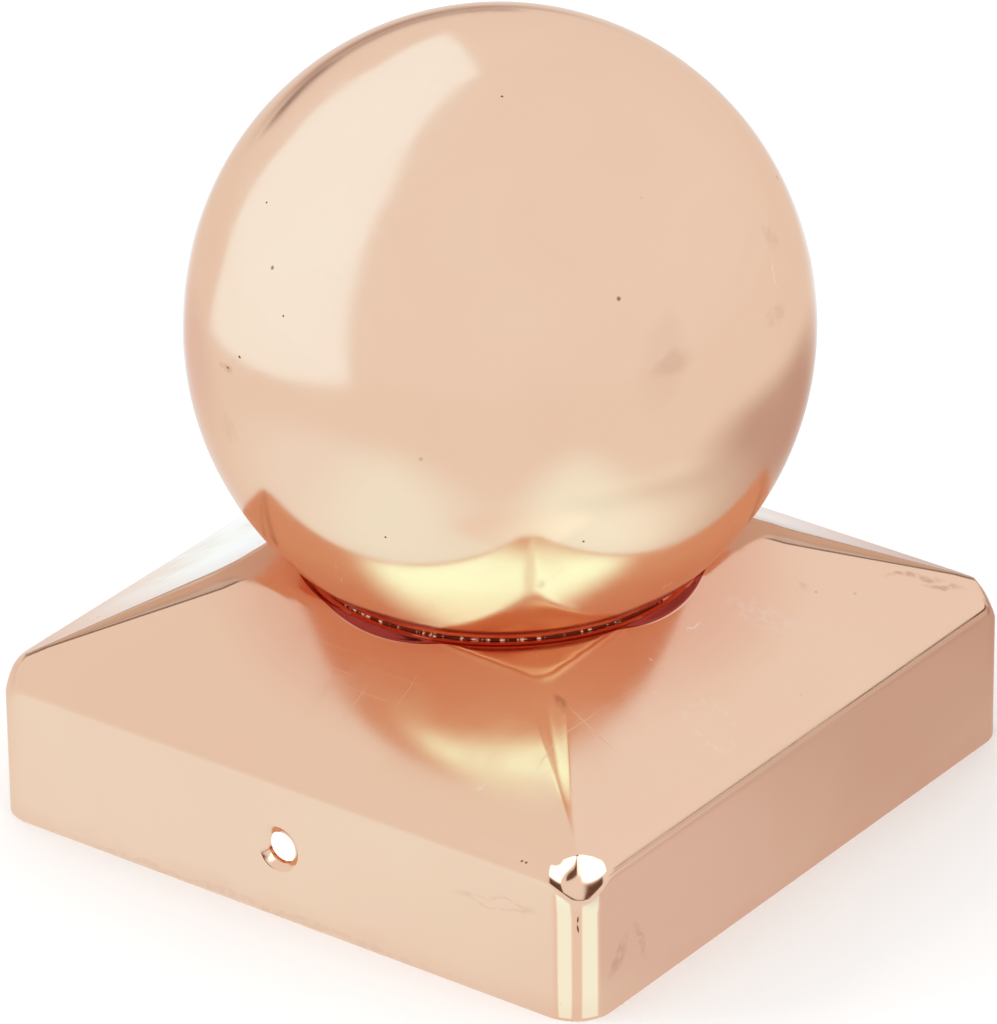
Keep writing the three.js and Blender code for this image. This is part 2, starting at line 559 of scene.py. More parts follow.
def object_from(bm: bmesh.types.BMesh, name: str, material: bpy.types.Material,
                crease: float = math.radians(38.0)) -> bpy.types.Object:
    """Turns a finished bmesh into a smooth-shaded object at the origin.

    Args:
        bm: the mesh, which is freed.
        name: the object's name.
        material: its finish.
        crease: the angle past which an edge is shaded as a sharp one.

    Returns:
        The object, linked to the scene.
    """
    for face in bm.faces:
        face.smooth = True
    mesh = bpy.data.meshes.new(name)
    bm.to_mesh(mesh)
    bm.free()
    mesh.set_sharp_from_angle(angle=crease)
    mesh.materials.append(material)
    made = bpy.data.objects.new(name, mesh)
    bpy.context.scene.collection.objects.link(made)
    return made


class Loft:
    """A skin that grows ring by ring, each ring extruded from the edges of the last one."""

    LAYER = "column"

    def __init__(self, bm: bmesh.types.BMesh, edges: list[bmesh.types.BMEdge]) -> None:
        """Starts the skin.

        Args:
            bm: the mesh, which has the column layer.
            edges: one closed ring of its edges.
        """
        self.bm = bm
        self.edges = edges
        self.ring = list({vert for edge in edges for vert in edge.verts})
        self.column = bm.verts.layers.int.get(self.LAYER)

    def number(self) -> list[Vector]:
        """Numbers the ring's columns, which every later ring keeps.

        Returns:
            The ring's points, in the order of their numbers.
        """
        for index, vert in enumerate(self.ring):
            vert[self.column] = index
        return [vert.co.copy() for vert in self.ring]

    def settle(self, points: list[Vector]) -> None:
        """Moves the newest ring to its points."""
        for vert in self.ring:
            vert.co = points[vert[self.column]]

    def _extrude(self) -> None:
        """Extrudes the newest ring in place."""
        made = bmesh.ops.extrude_edge_only(self.bm, edges=self.edges)["geom"]
        self.ring = [item for item in made if isinstance(item, bmesh.types.BMVert)]
        fresh = set(self.ring)
        self.edges = [item for item in made
                      if isinstance(item, bmesh.types.BMEdge) and fresh.issuperset(item.verts)]

    def grow(self, points: list[Vector]) -> None:
        """Adds the next ring."""
        self._extrude()
        self.settle(points)

    def close(self, edges: list[bmesh.types.BMEdge], tip: Vector) -> None:
        """Draws a ring of edges together at one point.

        Args:
            edges: the ring.
            tip: the point.
        """
        self.edges = edges
        self._extrude()
        bmesh.ops.pointmerge(self.bm, verts=self.ring, merge_co=tip)


@dataclass
class CapShell:
    """The square cap: skirt, eave bend, hipped roof, crown, round seat and two nail holes."""

    half_width: float
    seat_height: float
    sheet: float = 0.0007
    eave_height: float = 0.01574
    eave_radius: float = 0.0032
    corner_radius: float = 0.0042
    slope: float = math.radians(28.8)
    hip_low: float = 0.0003
    hip_high: float = 0.0025
    hip_fade: float = 0.0322
    hip_widest: float = 0.0225
    shield_corner: float = 0.0035
    shield_end: float = 0.0014
    shield_foot: float = 0.0130
    shield_lean: float = 0.0006
    shield_bend: float = 0.0152
    shield_reach: float = 0.0002
    crown_soft: float = 0.00015
    crown_fall: float = 0.03
    sag: float = 0.00035
    crown_half: float = 0.0222
    seat_radius: float = 0.0203
    seat_edge: float = 0.00012
    hole_height: float = 0.0076
    hole_shift: float = -0.00045
    hole_drop: float = 0.00018
    hole_radius: float = 0.00164
    dimple_radius: float = 0.00262
    flat_steps: int = 80
    corner_steps: int = 22
    eave_steps: int = 16
    roof_steps: int = 18
    hip_steps: int = 8
    crown_steps: int = 8
    hole_cells: int = 4
    seat_shares: tuple[float, ...] = (0.2, 0.5, 0.8, 0.92, 0.97)
    step_shares: tuple[float, ...] = (-1.0, -0.6, -0.3, 0.0, 0.3, 0.6, 1.0)
    skirt_shares: tuple[float, ...] = (0.3, 0.6, 0.85, 1.0)
    sag_peak: float = 4.0 / 27.0
    wave: float = 0.00003
    wave_scale: float = 38.0

    def dress(self, material: bpy.types.Material) -> bpy.types.Object:
        """Builds the cap and gives it its finish.

        Args:
            material: the copper finish.

        Returns:
            The cap's object.
        """
        bm = bmesh.new()
        column = bm.verts.layers.int.new(Loft.LAYER)
        self._skins(bm)
        for side in (-1.0, 1.0):
            self._punch(bm, side)
        bmesh.ops.remove_doubles(bm, verts=bm.verts, dist=1e-6)
        bmesh.ops.recalc_face_normals(bm, faces=bm.faces)
        self._soften(bm)
        bm.verts.layers.int.remove(column)
        return object_from(bm, "cap_shell", material)

    def _skins(self, bm: bmesh.types.BMesh) -> None:
        """Lofts the outer skin from the seat down to the rim, and the inner skin back up."""
        outer = self._seat_rings(0.0) + self._crown_rings(0.0) + self._wall_rings(0.0)
        inner = self._seat_rings(self.sheet) + self._crown_rings(self.sheet) + self._wall_rings(self.sheet)
        rings = outer + inner[::-1]
        made = bmesh.ops.create_circle(bm, cap_ends=False, radius=1.0, segments=len(rings[0]))
        for index, vert in enumerate(made["verts"]):
            vert[bm.verts.layers.int.get(Loft.LAYER)] = index
        loft = Loft(bm, bm.edges[:])
        loft.settle(rings[0])
        first = loft.edges
        for ring in rings[1:]:
            loft.grow(ring)
        loft.close(loft.edges, Vector((0.0, 0.0, self.seat_height - self.sheet)))
        loft.close(first, Vector((0.0, 0.0, self.seat_height)))

    def _plan(self, half: float, corner: float) -> list[Vector]:
        """Gives one ring of points round a square with rounded corners, at height 0.

        Args:
            half: half of the square's width.
            corner: the radius of its corners.

        Returns:
            The points, from the left end of the front side and on to the right.
        """
        points = []
        straight = half - corner
        for quarter in range(4):
            turn = Matrix.Rotation(quarter * math.pi / 2.0, 3, "Z")
            for step in range(self.flat_steps):
                along = blend(-straight, straight, step / self.flat_steps)
                points.append(turn @ Vector((along, -half, 0.0)))
            for step in range(self.corner_steps):
                angle = step / self.corner_steps * math.pi / 2.0
                points.append(turn @ Vector((straight + corner * math.sin(angle),
                                             -straight - corner * math.cos(angle), 0.0)))
        return points

    def _eave(self) -> tuple[float, float, float]:
        """Gives the eave bend's angle, and the half width and height of its axis."""
        bend = math.pi / 2.0 - self.slope
        height = self.eave_height - self.eave_radius * math.tan(bend / 2.0)
        return bend, self.half_width - self.eave_radius, height

    def _hip(self, half: float) -> float:
        """Gives the hip's rounding at a half width of the roof: wide high up, crisp low down."""
        share = (half - self.hip_widest) / (self.hip_fade - self.hip_widest)
        return blend(self.hip_high, self.hip_low, min(max(share, 0.0), 1.0))

    def _shield_share(self, column: int) -> float:
        """Gives how far a column belongs to the pressed shield on its corner, from 0 to 1.

        Args:
            column: the number of a point in its ring.

        Returns:
            1 in the middle of a corner and 0 along the straight walls.
        """
        step = column % (self.flat_steps + self.corner_steps)
        half_arc = self.corner_radius * math.pi / 4.0
        if step >= self.flat_steps:
            away = abs(2.0 * (step - self.flat_steps) / self.corner_steps - 1.0) * half_arc
        else:
            straight = self.half_width - self.corner_radius
            away = half_arc + straight * (1.0 - abs(2.0 * step / self.flat_steps - 1.0))
        return soft_step(half_arc + self.shield_reach, 0.0, away)

    def _eave_point(self, foot: Vector, wall: Vector, share: float, shield: float, depth: float) -> Vector:
        """Gives a point of the eave bend on one column.

        Args:
            foot: the roof's last point on the column.
            wall: the skirt's point on the column.
            share: how far down the bend the point lies, from 0 at the roof to 1 at the skirt.
            shield: how far the column belongs to the corner's shield.
            depth: how far the skin lies inside the outer one.

        Returns:
            The point, on an arc along the straight eaves and on a leaning face at the corners.
        """
        bend, _, low = self._eave()
        edge = self.eave_height - depth * (1.0 / math.cos(self.slope) - math.tan(self.slope))
        out = Vector((wall.x - foot.x, wall.y - foot.y, 0.0)).normalized()
        start = Vector((wall.x, wall.y, blend(low, self.shield_foot, shield)))
        knee = start - out * self.shield_lean * shield
        knee.z = blend(edge, self.shield_bend - depth, shield)
        first, last = share * share, (1.0 - share) * (1.0 - share)
        middle = 2.0 * share * (1.0 - share) * math.cos(bend / 2.0)
        return (start * first + knee * middle + foot * last) / (first + middle + last)

    def _reach(self, x: float, y: float) -> float:
        """Gives the half width of the roof's square that passes through a point of the plan.

        Args:
            x: the point's place along X.
            y: its place along Y.

        Returns:
            The half width of that square, whose corners are rounded as the hips are.
        """
        far, near = max(abs(x), abs(y)), min(abs(x), abs(y))
        corner = self._hip(far)
        gap = far - near
        if gap >= corner:
            return far
        return (far + near - math.sqrt(2.0 * corner * corner - gap * gap)) / 2.0 + corner

    def _roof_height(self, x: float, y: float, depth: float) -> float:
        """Gives the roof's height over a point of the plan.

        Args:
            x: the point's place along X.
            y: its place along Y.
            depth: how far the skin lies inside the outer one.

        Returns:
            The height, on a roof face, on the crown or on the round seat.
        """
        rise = (self.half_width - self._reach(x, y)) * math.tan(self.slope)
        pitched = self.eave_height + rise - self._sag(x, y) - depth / math.cos(self.slope)
        radius = math.hypot(x, y)
        top = self.seat_height - depth
        crown = top - max(radius - self.seat_radius, 0.0) * self.crown_fall
        edge = self.seat_radius - depth
        seat = soft_step(edge + self.seat_edge, edge - self.seat_edge, radius)
        return blend(soft_min(pitched, crown, self.crown_soft), top, seat)

    def _sag(self, x: float, y: float) -> float:
        """Gives how far the sheet of a roof face sinks between its hips, eave and crown.

        Args:
            x: the point's place along X.
            y: its place along Y.

        Returns:
            The depth of the sag, 0 at the face's edges.
        """
        far, near = max(abs(x), abs(y)), min(abs(x), abs(y))
        run = (self.seat_height - self.eave_height) / math.tan(self.slope)
        up = min(max((self.half_width - far) / run, 0.0), 1.0)
        across = near / far if far else 1.0
        return self.sag / self.sag_peak * up * up * (1.0 - up) * (1.0 - across * across)

    def _raised(self, plan: list[Vector], depth: float) -> list[Vector]:
        """Lifts a ring of the plan onto the roof."""
        return [Vector((p.x, p.y, self._roof_height(p.x, p.y, depth))) for p in plan]

    def _round(self, radius: float) -> list[Vector]:
        """Gives one ring of points on a circle, each on its column's own bearing."""
        square = self._plan(self.crown_half, self._hip(self.crown_half))
        return [point.normalized() * radius for point in square]

    def _seat_rings(self, depth: float) -> list[list[Vector]]:
        """Gives the rings of the round seat and its small step, from the middle outwards.

        Args:
            depth: how far the skin lies inside the outer one.

        Returns:
            The rings, each a list of points.
        """
        edge = self.seat_radius - depth
        inside = [edge * share for share in self.seat_shares]
        step = [edge + self.seat_edge * share for share in self.step_shares]
        return [self._raised(self._round(radius), depth) for radius in inside + step]

    def _crown_rings(self, depth: float) -> list[list[Vector]]:
        """Gives the rings between the seat's circle and the roof's square.

        Args:
            depth: how far the skin lies inside the outer one.

        Returns:
            The rings, from the circle outwards.
        """
        circle = self._round(self.seat_radius - depth + self.seat_edge)
        square = self._plan(self.crown_half + self.sheet, self._hip(self.crown_half + self.sheet))
        rings = []
        for step in range(1, self.crown_steps + 1):
            share = step / self.crown_steps
            plan = [low.lerp(high, share) for low, high in zip(circle, square)]
            rings.append(self._raised(plan, depth))
        return rings

    def _wall_rings(self, depth: float) -> list[list[Vector]]:
        """Gives the rings of the roof's faces, the eave bend and the skirt, down to the rim.

        Args:
            depth: how far the skin lies inside the outer one.

        Returns:
            The rings, from the crown down.
        """
        bend, centre_half, centre_height = self._eave()
        roof_half = centre_half + (self.eave_radius - depth) * math.cos(bend)
        near_half = roof_half - self.shield_end
        rings = []
        for step in range(1, self.roof_steps + 1):
            half = blend(self.crown_half + self.sheet, near_half, step / self.roof_steps)
            rings.append(self._raised(self._plan(half, self._hip(half)), depth))
        for step in range(1, self.hip_steps + 1):
            half = blend(near_half, roof_half, step / self.hip_steps)
            corner = blend(self._hip(half), self.shield_corner - depth, step / self.hip_steps)
            rings.append(self._raised(self._plan(half, corner), depth))
        foot = rings[-1]
        skirt = self._plan(self.half_width - depth, self.corner_radius - depth)
        shields = [self._shield_share(column) for column in range(len(skirt))]
        for step in range(1, self.eave_steps + 1):
            share = step / self.eave_steps
            rings.append([self._eave_point(high, low, share, shield, depth)
                          for high, low, shield in zip(foot, skirt, shields)])
        for height in self._skirt_heights(centre_height):
            rings.append([Vector((p.x, p.y, height)) for p in skirt])
        return rings

    def _cell(self) -> float:
        """Gives the width of one face along the skirt."""
        return 2.0 * (self.half_width - self.corner_radius) / self.flat_steps

    def _skirt_heights(self, top: float) -> list[float]:
        """Gives the heights of the skirt's rings.

        Args:
            top: the height where the eave bend ends.

        Returns:
            The heights below that, downwards to the rim, with even ones round the nail holes.
        """
        patch = [self.hole_height + self._cell() * row
                 for row in range(self.hole_cells, -self.hole_cells - 1, -1)]
        above = [blend(top, patch[0], 0.8)]
        below = [blend(patch[-1], 0.0, share) for share in self.skirt_shares]
        return above + patch + below

    def _punch(self, bm: bmesh.types.BMesh, side: float) -> None:
        """Opens one nail hole with its pressed dimple in the wall on one side.

        Args:
            bm: the cap's two skins.
            side: -1 for the front wall, 1 for the back wall.
        """
        loft = Loft(bm, self._open_patch(bm, side, 0.0))
        self._open_patch(bm, side, self.sheet)
        square = loft.number()
        lip = self.hole_radius
        cone = self.dimple_radius
        face = self.sheet
        # Radius and depth inwards: the dimple's rounded edge, its cone, the burr, and the bulge behind.
        profile = [(cone, 0.0), (cone - 0.00012, 0.00002), (cone - 0.00022, 0.00007),
                   (lip + 0.00008, 0.86 * face), (lip, 0.97 * face), (lip - 0.00002, 1.60 * face),
                   (lip + 0.00012, 1.70 * face), (lip + 0.00045, 1.62 * face),
                   (cone + 0.00018, 1.06 * face), (cone + 0.00038, face)]
        axis = Vector((self.hole_shift, side * self.half_width, self.hole_height))
        inward = Vector((0.0, -side, 0.0))
        for radius, inset in profile:
            centre = axis - Vector((0.0, 0.0, self.hole_drop)) * min(inset / face, 1.0)
            loft.grow([centre + (point - axis).normalized() * radius + inward * inset for point in square])
        loft.grow([point + inward * face for point in square])

    def _open_patch(self, bm: bmesh.types.BMesh, side: float, depth: float) -> list[bmesh.types.BMEdge]:
        """Cuts a square of faces out of one skin of the wall.

        Args:
            bm: the cap's two skins.
            side: -1 for the front wall, 1 for the back wall.
            depth: 0 for the outer skin, the sheet's thickness for the inner one.

        Returns:
            The edges round the opening.
        """
        wall = side * (self.half_width - depth)
        half = (self.hole_cells + 0.2) * self._cell()
        near = 1e-6

        def inside(vert: bmesh.types.BMVert) -> bool:
            """Tells whether a vertex lies on the patch."""
            on_wall = abs(vert.co.y - wall) < near
            return on_wall and abs(vert.co.x) < half and abs(vert.co.z - self.hole_height) < half

        faces = [face for face in bm.faces if all(inside(vert) for vert in face.verts)]
        bmesh.ops.delete(bm, geom=faces, context="FACES")
        return [edge for edge in bm.edges if edge.is_boundary and all(inside(vert) for vert in edge.verts)]

    def _soften(self, bm: bmesh.types.BMesh) -> None:
        """Gives the pressed sheet the faint waves that hand finishing leaves."""
        bm.normal_update()
        moves = [vert.normal * self.wave * noise.noise(vert.co * self.wave_scale) for vert in bm.verts]
        for vert, move in zip(bm.verts, moves):
            if vert.co.z > self.sheet:
                vert.co += move


@dataclass
class Ball:
    """The hollow ball, closed here, with a narrow foot that stands on the seat."""

    radius: float
    foot_height: float
    top_height: float
    half_height: float = 0.03137
    foot_lip: float = 0.0004
    segments: int = 180
    rings: int = 120
    dent: float = 0.000025
    dent_scale: float = 30.0

    def dress(self, material: bpy.types.Material) -> bpy.types.Object:
        """Builds the ball and gives it its finish.

        Args:
            material: the copper finish.

        Returns:
            The ball's object.
        """
        centre = Vector((0.0, 0.0, self.top_height - self.half_height))
        bm = bmesh.new()
        bmesh.ops.create_uvsphere(bm, u_segments=self.segments, v_segments=self.rings, radius=self.radius)
        bmesh.ops.scale(bm, vec=(1.0, 1.0, self.half_height / self.radius), verts=bm.verts)
        bmesh.ops.translate(bm, vec=centre, verts=bm.verts)
        self._soften(bm, centre)
        foot = Vector((0.0, 0.0, self.foot_height))
        cut = bmesh.ops.bisect_plane(bm, geom=bm.verts[:] + bm.edges[:] + bm.faces[:], plane_co=foot,
                                     plane_no=(0.0, 0.0, -1.0), clear_outer=True)
        rim = [item for item in cut["geom_cut"] if isinstance(item, bmesh.types.BMEdge)]
        made = bmesh.ops.extrude_edge_only(bm, edges=rim)["geom"]
        verts = [item for item in made if isinstance(item, bmesh.types.BMVert)]
        for vert in verts:
            vert.co -= Vector((vert.co.x, vert.co.y, 0.0)).normalized() * self.foot_lip
        bmesh.ops.holes_fill(bm, edges=bm.edges, sides=0)
        bmesh.ops.recalc_face_normals(bm, faces=bm.faces)
        return object_from(bm, "ball_shell", material)

    def _soften(self, bm: bmesh.types.BMesh, centre: Vector) -> None:
        """Gives the spun ball its slight unevenness."""
        for vert in bm.verts:
            out = (vert.co - centre).normalized()
            vert.co += out * self.dent * (noise.noise(vert.co * self.dent_scale) - 0.5)


@dataclass
class BrazeLine:
    """The uneven bead of filler and flux where the ball meets its seat."""

    seat_height: float
    radius: float = 0.01932
    lift: float = 0.00006
    thickness: float = 0.00009
    sides: int = 10
    steps: int = 300
    uneven: float = 0.00009
    uneven_scale: float = 1100.0

    def dress(self, material: bpy.types.Material) -> bpy.types.Object:
        """Builds the bead and gives it its finish.

        Args:
            material: the braze finish.

        Returns:
            The bead's object.
        """
        bm = bmesh.new()
        place = Matrix.Translation((self.radius, 0.0, self.seat_height + self.lift))
        bmesh.ops.create_circle(bm, cap_ends=False, radius=self.thickness, segments=self.sides,
                                matrix=place @ Matrix.Rotation(math.pi / 2.0, 4, "X"))
        bmesh.ops.spin(bm, geom=bm.verts[:] + bm.edges[:], cent=(0.0, 0.0, 0.0), axis=(0.0, 0.0, 1.0),
                       angle=2.0 * math.pi, steps=self.steps, use_merge=True)
        bmesh.ops.remove_doubles(bm, verts=bm.verts, dist=1e-7)
        bmesh.ops.recalc_face_normals(bm, faces=bm.faces)
        bm.normal_update()
        moves = [vert.normal * self.uneven * noise.noise(vert.co * self.uneven_scale) for vert in bm.verts]
        for vert, move in zip(bm.verts, moves):
            vert.co += move
        return object_from(bm, "braze_line", material)


@dataclass(frozen=True)
class PhotoCamera:
    """The camera where the photographer stood, in degrees and metres."""

    azimuth: float = 36.776
    elevation: float = 27.99
    roll: float = -0.659
    distance: float = 0.90248
    aim_height: float = 0.045
    slide_right: float = -0.000162
    slide_up: float = -0.014247
    lens: float = 325.85
    sensor: float = 36.0

    def toward(self) -> Vector:
        """Gives the direction from the object to the camera."""
        azimuth, elevation = math.radians(self.azimuth), math.radians(self.elevation)
        return Vector((math.sin(azimuth) * math.cos(elevation),
                       -math.cos(azimuth) * math.cos(elevation), math.sin(elevation)))

    def place(self) -> None:
        """Makes the camera and hands it to the scene."""
        back = self.toward()
        level = Vector((0.0, 0.0, 1.0)).cross(back).normalized()
        upright = back.cross(level)
        roll = math.radians(self.roll)
        right = level * math.cos(roll) + upright * math.sin(roll)
        up = upright * math.cos(roll) - level * math.sin(roll)
        data = bpy.data.cameras.new("photo_camera")
        data.lens = self.lens
        data.sensor_width = self.sensor
        camera = bpy.data.objects.new("photo_camera", data)
        eye = (Vector((0.0, 0.0, self.aim_height)) + back * self.distance
               + right * self.slide_right + up * self.slide_up)
        turn = Matrix((right, up, back)).transposed().to_4x4()
        camera.matrix_world = Matrix.Translation(eye) @ turn
        bpy.context.scene.collection.objects.link(camera)
        bpy.context.scene.camera = camera


@dataclass(frozen=True)
class LightPanel:
    """A rectangular softbox far away, in degrees round the photographer's line of sight."""

    bearing: float
    height: float
    half_width: float
    half_height: float
    softness: float = 0.10
    weight: float = 1.0
    least_depth: float = 0.05

    def mask(self, sheet: NodeSheet, way: Signal) -> Signal:
        """Gives the panel's weight for the directions that lie on it and 0 for the others.

        Args:
            sheet: the nodes that it is drawn with.
            way: the direction that light comes from.

        Returns:
            The mask, with soft edges.
        """
        centre = direction(self.bearing, self.height)
        right = Vector((0.0, 0.0, 1.0)).cross(centre).normalized()
        up = centre.cross(right)
        depth = sheet.dot(way, centre).at_least(self.least_depth)
        wide = math.tan(math.radians(self.half_width))
        tall = math.tan(math.radians(self.half_height))
        across = (sheet.dot(way, right) / depth).size()
        along = (sheet.dot(way, up) / depth).size()
        return (sheet.window(across, wide + self.softness, wide - self.softness)
                * sheet.window(along, tall + self.softness, tall - self.softness) * self.weight)


def direction(bearing: float, height: float) -> Vector:
    """Gives a direction round the object.

    Args:
        bearing: degrees to the right of the photographer.
        height: degrees over the level.

    Returns:
        The direction, one metre long.
    """
    turn = math.radians(PhotoCamera.azimuth + bearing)
    rise = math.radians(height)
    return Vector((math.sin(turn) * math.cos(rise), -math.cos(turn) * math.cos(rise), math.sin(rise)))


@dataclass(frozen=True)
class DimZone:
    """A dim round part of the room, in degrees."""

    bearing: float
    height: float
    inner: float
    outer: float

    def mask(self, sheet: NodeSheet, way: Signal) -> Signal:
        """Gives 1 for the directions inside the zone and 0 for the others."""
        along = sheet.dot(way, direction(self.bearing, self.height))
        return sheet.window(along, math.cos(math.radians(self.outer)), math.cos(math.radians(self.inner)))


@dataclass(frozen=True)
class TablePatch:
    """A soft patch of tone on the table, painted light where it is bright and painted shadow where it is
    dark, as the copper mirrors it.
    """

    bearing: float
    reach: float
    half_length: float
    half_width: float
    tone: Colour
    core: float = 0.1

    def mask(self, sheet: NodeSheet, place: Signal) -> Signal:
        """Gives 1 in the patch's core, 0 outside it and a smooth fall between them.

        Args:
            sheet: the nodes that it is drawn with.
            place: the place on the table.

        Returns:
            The mask.
        """
        away = direction(self.bearing, 0.0)
        node = sheet.add("ShaderNodeMapping", {"vector_type": "TEXTURE"}, {
            "Vector": place, "Location": tuple(away * self.reach),
            "Rotation": (0.0, 0.0, math.atan2(away.y, away.x)),
            "Scale": (self.half_length, self.half_width, 1.0)})
        return sheet.window(sheet.length(sheet.out(node)), 1.0, self.core)


@dataclass(frozen=True)
class TableFan:
    """A fan of tone on the table from the foot of the front corner, painted light where it is bright and
    painted shade where it is dark, as the corner mirrors it.
    """

    bearing: float
    half_spread: float
    tone: Colour
    apex_bearing: float = 7.7
    apex_reach: float = 0.0476
    soft: float = 3.0
    length: float = 0.042

    @classmethod
    def apex(cls) -> Vector:
        """Gives the foot of the corner, where the fans start."""
        return direction(cls.apex_bearing, 0.0) * cls.apex_reach

    def mask(self, sheet: NodeSheet, place: Signal) -> Signal:
        """Gives 1 inside the fan and 0 outside it.

        Args:
            sheet: the nodes that it is drawn with.
            place: the place on the table.

        Returns:
            The mask, with soft edges.
        """
        away = sheet.out(sheet.add("ShaderNodeVectorMath", {"operation": "SUBTRACT"},
                                   {0: place, 1: tuple(self.apex())}))
        unit = sheet.out(sheet.add("ShaderNodeVectorMath", {"operation": "NORMALIZE"}, {0: away}))
        far = sheet.length(away)
        inner = math.cos(math.radians(self.half_spread - self.soft))
        outer = math.cos(math.radians(self.half_spread + self.soft))
        along = sheet.dot(unit, direction(self.bearing, 0.0))
        return sheet.window(along, outer, inner) * sheet.window(far, self.length, self.length * RING_EDGE)


class Bounce(Enum):
    """Which of a mirrored ray's bounces a light shows in."""

    FIRST = "first"
    LATER = "later"


@dataclass
class Studio:
    """A pale table in a white room: softboxes in front, a dim horizon and a window on the left."""

    floor_half: float = 4.0
    floor_tone: Colour = (0.95, 0.95, 0.95, 1.0)
    mirrored_tone: Colour = (0.85, 0.84, 0.82, 1.0)
    table_patches: tuple[TablePatch | TableFan, ...] = (
        TablePatch(180.0, 0.13, 0.12, 0.11, (1.02, 1.35, 1.62, 1.0)),
        TablePatch(-166.0, 0.12, 0.055, 0.05, (1.06, 1.60, 2.00, 1.0)),
        TablePatch(-130.0, 0.13, 0.08, 0.06, (0.80, 0.73, 0.75, 1.0)),
        TablePatch(-55.0, 0.085, 0.10, 0.090, (0.89, 0.96, 0.97, 1.0), 0.3),
        TablePatch(104.0, 0.40, 0.30, 0.16, (0.62, 0.50, 0.46, 1.0), 0.75),
        TablePatch(110.0, 0.095, 0.075, 0.09, (0.56, 0.44, 0.41, 1.0), 0.3),
        TablePatch(60.0, 0.058, 0.036, 0.062, (0.61, 0.50, 0.47, 1.0), 0.45),
        TablePatch(40.0, 0.056, 0.036, 0.045, (0.73, 0.65, 0.65, 1.0), 0.2),
        TableFan(4.0, 62.0, (0.86, 0.80, 0.76, 1.0), soft=8.0, length=0.034),
        TablePatch(-171.0, 1.9, 1.6, 0.5, (0.42, 0.30, 0.27, 1.0), 0.5))
    corner_fans: tuple[TableFan, ...] = (
        TableFan(-28.0, 19.0, (0.12, 0.44, 0.48, 1.0)), TableFan(40.0, 21.0, (0.12, 0.44, 0.48, 1.0)))
    belly_patches: tuple[TablePatch, ...] = (
        TablePatch(-35.0, 0.070, 0.12, 0.050, (0.03, 0.13, 0.12, 1.0)),
        TablePatch(24.0, 0.075, 0.11, 0.042, (0.09, 0.28, 0.28, 1.0)),
        TablePatch(50.0, 0.056, 0.050, 0.060, (0.18, 0.31, 0.29, 1.0), 0.1),
        TablePatch(104.0, 0.40, 0.30, 0.16, (0.23, 0.34, 0.36, 1.0), 0.75))
    fan_height: float = 0.0003
    belly_height: float = 0.0005
    belly_half: float = 0.75
    later_tone: Colour = (0.73, 0.55, 0.46, 1.0)
    corner_at: tuple[float, float, float] = (0.0352, -0.0352, 0.0150)
    corner_radius: float = 0.07
    panel_radius: float = 60.0
    even_radius: float = 66.0
    dome_foot: float = -0.0165
    room: float = 0.86
    table_light: float = 1.09
    wall: Colour = (0.84, 0.81, 0.79, 1.0)
    right_wall: Colour = (0.865, 0.85, 0.85, 1.0)
    dusk: Colour = (0.62, 0.50, 0.43, 1.0)
    shade: Colour = (0.14, 0.07, 0.05, 1.0)
    shade_top: float = 0.40
    shade_full: float = 0.24
    shade_sides: tuple[float, float] = (0.44, 0.60)
    right_share: tuple[float, float] = (-0.4, 0.4)
    panel_strength: float = 1.5
    panel_tone: Colour = (0.95, 1.0, 1.04, 1.0)
    glow_strength: float = 2.0
    glow_tone: Colour = (0.21, 0.83, 1.0, 1.0)
    window_at: float = -0.19
    window_outline: tuple[tuple[float, float], ...] = (
        (-0.027, 0.0), (-0.029, 0.042), (0.014, 0.125), (0.095, 0.182), (0.185, 0.187),
        (0.197, 0.46), (-0.233, 0.48), (-0.455, 0.260), (-0.670, 0.0))
    window_middle: tuple[float, float] = (-0.14, 0.24)
    window_inset: float = 0.001
    window_strength: float = 0.42
    window_soft: float = 0.06
    window_tone: Colour = (0.28, 0.72, 1.0, 1.0)
    key_strength: float = 3.0
    key_size: float = 0.5
    key_at: tuple[float, float, float] = (-0.8, -0.5, 0.55)
    hollow_strength: float = 0.08
    hollow_height: float = 0.016
    hollow_size: float = 0.004
    corner_panels: tuple[LightPanel, ...] = (
        LightPanel(-38.0, 40.5, 23.5, 17.5, 0.05), LightPanel(50.0, 40.0, 33.0, 18.0, 0.05))
    roof_panels: tuple[LightPanel, ...] = (
        LightPanel(-38.0, 29.0, 21.0, 21.0, 0.12), LightPanel(46.0, 29.0, 20.0, 21.0, 0.14, 1.1),
        LightPanel(5.0, 32.0, 12.0, 24.0, 0.12, 0.6))
    ball_panels: tuple[LightPanel, ...] = (
        LightPanel(-57.0, 48.0, 17.0, 16.0, 0.10, 1.2), LightPanel(45.0, 42.0, 28.0, 17.0, 0.12),
        LightPanel(-12.0, 42.0, 12.0, 14.0, 0.12, 0.3))
    dim_zones: tuple[DimZone, ...] = (DimZone(-160.0, 34.0, 12.0, 26.0), DimZone(158.0, 20.0, 10.0, 24.0),
                                      DimZone(180.0, 27.0, 10.0, 24.0))
    doorway: LightPanel = LightPanel(4.0, 7.0, 15.0, 20.0, 0.04)
    dark_panels: tuple[LightPanel, ...] = (
        LightPanel(12.0, 46.0, 9.0, 20.0, 0.03), LightPanel(0.0, 0.5, 20.0, 2.5, 0.02),
        LightPanel(112.0, 2.0, 14.0, 3.0, 0.03), LightPanel(166.0, 1.0, 16.0, 2.0, 0.02))
    left_horizon: LightPanel = LightPanel(-166.0, 1.5, 16.0, 2.8, 0.03, 0.50)
    dark_horizon: LightPanel = LightPanel(-158.0, 1.5, 5.0, 2.2, 0.03, 0.35)

